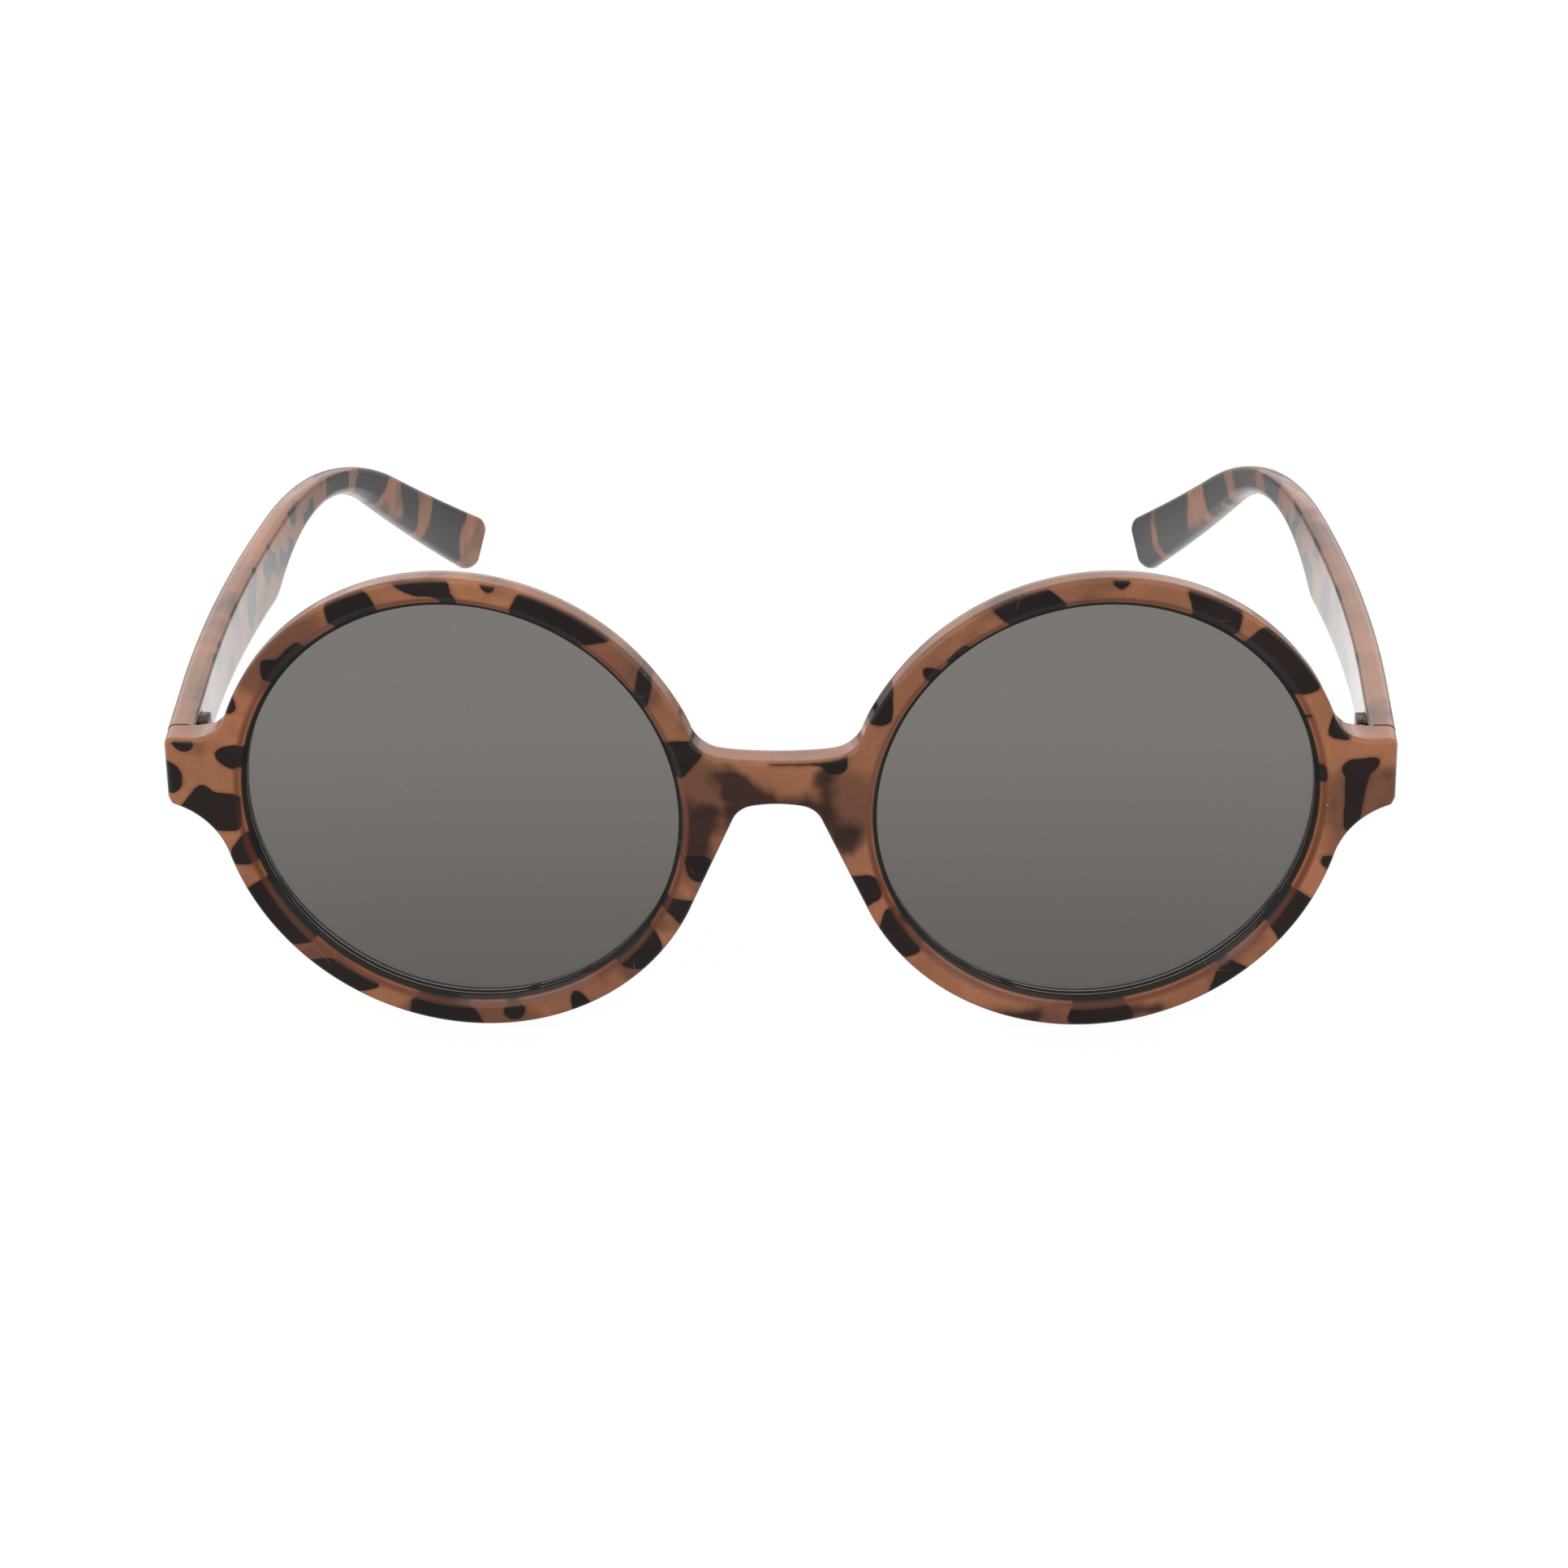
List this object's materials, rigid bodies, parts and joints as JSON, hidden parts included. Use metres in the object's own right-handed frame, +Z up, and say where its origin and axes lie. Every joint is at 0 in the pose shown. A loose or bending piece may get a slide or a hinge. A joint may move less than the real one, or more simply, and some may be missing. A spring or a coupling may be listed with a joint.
{
  "type": "round sunglasses",
  "caption": "Round plastic sunglasses in a brown tortoise pattern with flat grey lenses, a saddle bridge and temples that fold on small leaf hinges.",
  "frame": {"origin": "middle of the box round the open glasses, at the height of the surface they stand on", "axes": "-Y is where the front faces and the temples run back along +Y; +X is the side on the right as seen from the front; +Z is up, with the hinge pins upright"},
  "size_m": [0.1436, 0.142, 0.0587],
  "materials": {
    "tortoise_plastic": "polished cellulose plastic, caramel with dark brown spots",
    "grey_lens": "smooth tinted lens, neutral grey",
    "hinge_metal": "aged bronze-coloured hinge leaves, satin",
    "screw_steel": "turned screw, satin"
  },
  "bodies": {
    "front": {"front_frame": "tortoise_plastic", "left_lens": "grey_lens", "right_lens": "grey_lens", "left_front_leaf": "hinge_metal", "right_front_leaf": "hinge_metal", "left_hinge_screw": "screw_steel", "right_hinge_screw": "screw_steel"},
    "left_arm": {"left_temple": "tortoise_plastic", "left_temple_leaf": "hinge_metal"},
    "right_arm": {"right_temple": "tortoise_plastic", "right_temple_leaf": "hinge_metal"}
  },
  "joints": [
    {"name": "right_hinge", "type": "hinge", "parent": "front", "child": "right_arm", "pos_m": [0.06765, -0.0571, 0.03193], "axis": [0, 0, 1], "range_deg": [0, 80]},
    {"name": "left_hinge", "type": "hinge", "parent": "front", "child": "left_arm", "pos_m": [-0.06765, -0.0571, 0.03193], "axis": [0, 0, -1], "range_deg": [0, 73]}
  ]
}
